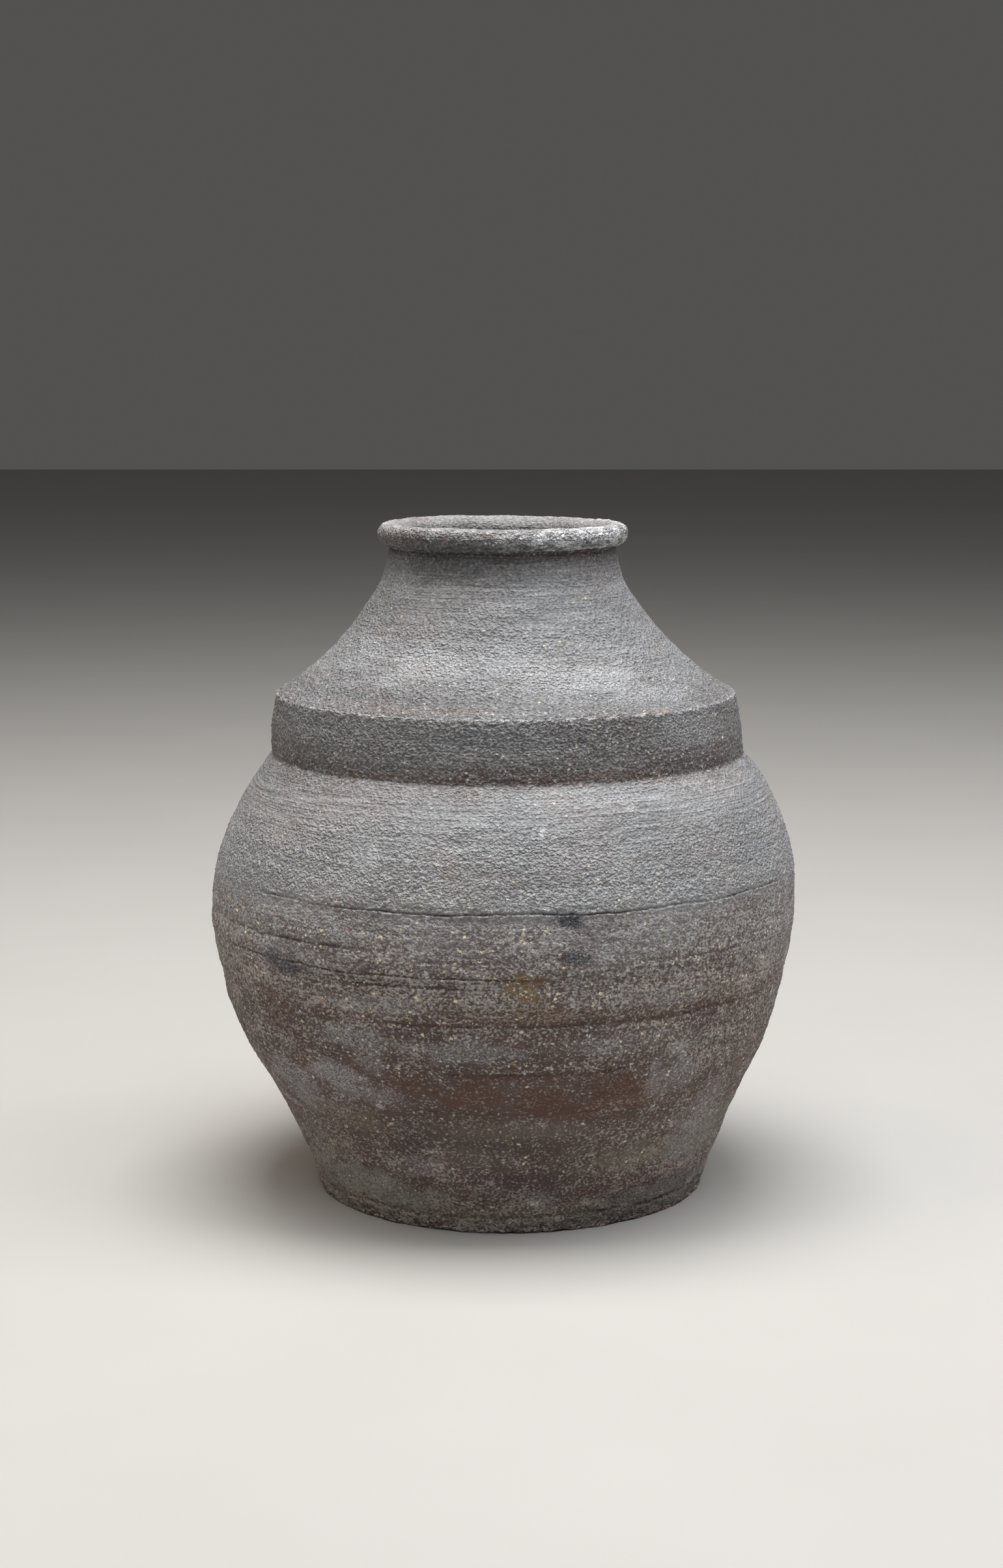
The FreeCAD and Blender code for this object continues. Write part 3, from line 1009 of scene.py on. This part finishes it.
def clay():
    """Coarse unglazed black-fired clay: gritty and matt, with pale dust on what stands out, and
    painted glints, highlights and shade in its fine marks.
    """
    g = Graph("black_fired_clay")
    place = g.node("ShaderNodeTexCoord").outputs["Object"]
    bent = g.warped(place, 0.9, 0.7)
    gritty, lined, warmth = g.field("gritty"), g.field("lined"), g.field("warmth")

    # Fine relief, kept free of anything too small to be seen.
    pebbles = g.noise(g.stretched(bent, 1.3, 1.0), PEBBLE_SIZE, 1.0, 0.40)
    sand = g.noise(g.stretched(place, 1.3, 1.0), SAND_SIZE, 2.0, 0.60)
    lines = g.noise(g.stretched(place, LINE_STRETCH, 1.0), LINE_SIZE, 1.0, 0.45)
    grit, shade = g.grains(bent, GRIT_SIZE, 0.58, g.step(gritty, 0.0, 1.0, 0.03, 0.52))
    grain, hue = g.grains(bent, GRAIN_SIZE, 0.50, g.times(g.field("grains"), 0.28))
    height = g.add(
        g.times(pebbles, g.step(gritty, 0.0, 1.0, 0.45, 2.10)),
        g.times(lines, lined, 0.55),
        g.times(grit, g.step(gritty, 0.0, 1.0, 0.08, 0.20)),
        g.times(grain, 0.22),
    )
    pairs = (("Strength", 1.0), ("Distance", MM), ("Height", height))
    bump = g.node("ShaderNodeBump", pairs).outputs["Normal"]

    # Dust covers as much of the clay as the tone asks for, and what stands out first.
    crevice_shade = g.field("crevice_shade")
    # Tone raised on raised grit and lifted crack lips: painted highlight.
    tone = g.times(g.field("tone"), g.step(g.field("ridge_highlight"), 0.0, 1.0, 0.80, 1.20))
    cool = g.step(warmth, 0.1, 0.8, 1.0, 0.15)
    fade = g.add(1.0, g.times(g.step(tone, 0.08, 0.26, 0.0, 1.6), cool))
    clay_tone = g.times(fade, CLAY_TONE)
    cover = g.math("DIVIDE", g.math("SUBTRACT", tone, clay_tone),
                   g.math("SUBTRACT", DUST_TONE, clay_tone))
    stand = g.add(
        g.times(pebbles, 0.65),
        g.times(sand, 0.35),
        g.times(g.math("SUBTRACT", lines, 0.5), lined, 0.45),
        g.times(cover, 0.42),
        g.times(crevice_shade, -0.30),
    )
    blend = g.step(warmth, 0.05, 0.42, 0.42, 0.11)
    dusty = g.step(stand, g.math("SUBTRACT", 0.71, blend), g.math("ADD", 0.71, blend))
    bare = g.scaled(g.mix(warmth, COOL_CLAY, WARM_CLAY), fade)
    rust = g.times(g.field("rust"), g.step(sand, 0.36, 0.60, 1.0, 0.7))
    bare = g.mix(g.math("MINIMUM", rust, 1.0), bare, RUST)
    # Painted shade: bare clay darkened in cracks and pits.
    bare = g.scaled(bare, g.step(crevice_shade, 0.1, 0.9, 1.0, 0.42))
    dusty = g.times(dusty, g.step(g.field("rust"), 0.0, 1.0, 1.0, 0.60))
    colour = g.mix(dusty, bare, g.mix(warmth, COOL_DUST, WARM_DUST))
    for kind, bare_share, raised_share, stain in STAIN_PAINTS:
        share = g.times(g.field(kind), g.step(sand, 0.38, 0.64, bare_share, raised_share))
        colour = g.mix(g.math("MINIMUM", share, 1.0), colour, stain)

    # Pale grit flecks, partly painted glints, and grains of temper, which stains and crevice shade
    # hide, and the rim's worn streaks, partly painted highlight.
    stained = g.math("MAXIMUM", g.math("MAXIMUM", crevice_shade, g.field("soot")), rust)
    clean = g.step(stained, 0.0, 0.9, 1.0, 0.25)
    # Pale grit flecks: partly real grit, partly painted glints.
    pale = g.times(grit, g.step(shade, 0.0, 1.0, 0.1, 0.85), g.step(warmth, 0.05, 0.4, 0.5, 1.0))
    pale = g.times(pale, clean)
    colour = g.mix(pale, colour, g.mix(warmth, PALE_GRIT_AND_GLINT, WARM_GRIT))
    specks = g.times(grain, clean, g.step(warmth, 0.0, 0.40, 0.50, 1.0))
    hues = g.mix(g.step(hue, 0.50, 0.55), CREAM, PALE_GRIT_AND_GLINT)
    colour = g.mix(specks, colour, g.mix(g.step(hue, 0.95, 0.96), hues, PINK))
    streaky = g.noise(g.stretched(bent, 3.0, 1.0), 1.3, 3.0, 0.7)
    # Pale streaks on the rim, most on its up-facing right side, are painted highlight with some
    # wear; on the shoulder's edge they are wear.
    worn_and_lit = g.times(g.field("wear_and_highlight"), g.step(streaky, 0.44, 0.60, 0.0, 0.95))
    colour = g.mix(worn_and_lit, colour, PALE_GRIT_AND_GLINT)

    roughness = g.step(g.add(grit, g.field("wear_and_highlight")), 0.0, 1.2, 0.68, 0.48)
    inputs = {
        "Base Color": colour,
        "Roughness": roughness,
        "Specular IOR Level": 0.5,
        "Normal": bump,
    }
    shader = g.node("ShaderNodeBsdfPrincipled", inputs.items())
    g.node("ShaderNodeOutputMaterial", (("Surface", shader.outputs[0]),))
    return g.material


def floor_material():
    """A plain pale matt surface."""
    g = Graph("pale_floor")
    place = g.node("ShaderNodeTexCoord").outputs["Object"]
    colour = g.mix(g.noise(place, 150, 3.0), (0.40, 0.39, 0.375, 1), (0.44, 0.43, 0.415, 1))
    shader = g.node("ShaderNodeBsdfPrincipled", (("Base Color", colour), ("Roughness", 0.8)))
    g.node("ShaderNodeOutputMaterial", (("Surface", shader.outputs[0]),))
    return g.material


# ---------------------------------------------------------------- stage, light and camera

FLOOR_HALF_WIDTH = 6.0
SURROUND_COLOUR = (1.0, 0.98, 0.96, 1)
SURROUND_STRENGTH = 0.085


def make_floor():
    """A wide pale floor at the pot's foot."""
    half = FLOOR_HALF_WIDTH
    mesh = bpy.data.meshes.new("floor")
    corners = [(-half, -half, 0), (half, -half, 0), (half, half, 0), (-half, half, 0)]
    mesh.from_pydata(corners, [], [(0, 1, 2, 3)])
    mesh.materials.append(floor_material())
    floor = bpy.data.objects.new("floor", mesh)
    bpy.context.scene.collection.objects.link(floor)


# Soft lights: name, place, side length, power and colour.
LIGHTS = (
    ("overhead", (0.0, 0.0, 1.6), 0.9, 32.0, (1.0, 0.99, 0.98)),
    ("overhead_right", (0.9, -0.2, 1.4), 0.9, 13.0, (1.0, 1.0, 1.0)),
    ("overhead_left", (-0.9, -0.2, 1.4), 0.9, 7.0, (1.0, 0.86, 0.72)),
    ("front_fill", (0.0, -1.0, 1.4), 0.9, 6.5, (0.88, 0.95, 1.0)),
)


def make_lights(middle):
    """Soft light from overhead, a little more from the right, and a dim even surround."""
    for name, place, size, power, colour in LIGHTS:
        data = bpy.data.lights.new(name, "AREA")
        data.size, data.energy, data.color = size, power, colour
        light = bpy.data.objects.new(name, data)
        light.location = place
        way = middle - Vector(place)
        light.rotation_euler = way.to_track_quat("-Z", "Y").to_euler()
        bpy.context.scene.collection.objects.link(light)
    world = bpy.data.worlds.new("surround")
    world.use_nodes = True
    background = world.node_tree.nodes["Background"]
    background.inputs["Color"].default_value = SURROUND_COLOUR
    background.inputs["Strength"].default_value = SURROUND_STRENGTH
    bpy.context.scene.world = world


# Camera, worked out from the pot's apparent shape: distance from the pot's axis, height,
# downward tilt and lens.
CAMERA_DISTANCE = 1.0417
CAMERA_HEIGHT = 0.3163
CAMERA_SIDE = -0.0012
CAMERA_TILT = math.radians(8.98)
CAMERA_LENS = 64.3


def make_camera():
    """The photograph's point of view."""
    data = bpy.data.cameras.new("camera")
    data.lens = CAMERA_LENS
    data.clip_start = 0.05
    camera = bpy.data.objects.new("camera", data)
    camera.location = (CAMERA_SIDE, -CAMERA_DISTANCE, CAMERA_HEIGHT)
    camera.rotation_euler = (math.pi / 2 - CAMERA_TILT, 0, 0)
    bpy.context.scene.collection.objects.link(camera)
    bpy.context.scene.camera = camera


make_camera()
bpy.context.scene.view_settings.view_transform = "Standard"
for node, piece in build_pot(clay()).items():
    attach(piece, "root")
    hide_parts(node)
make_floor()
make_lights((cad_box[0] + cad_box[1]) / 2)
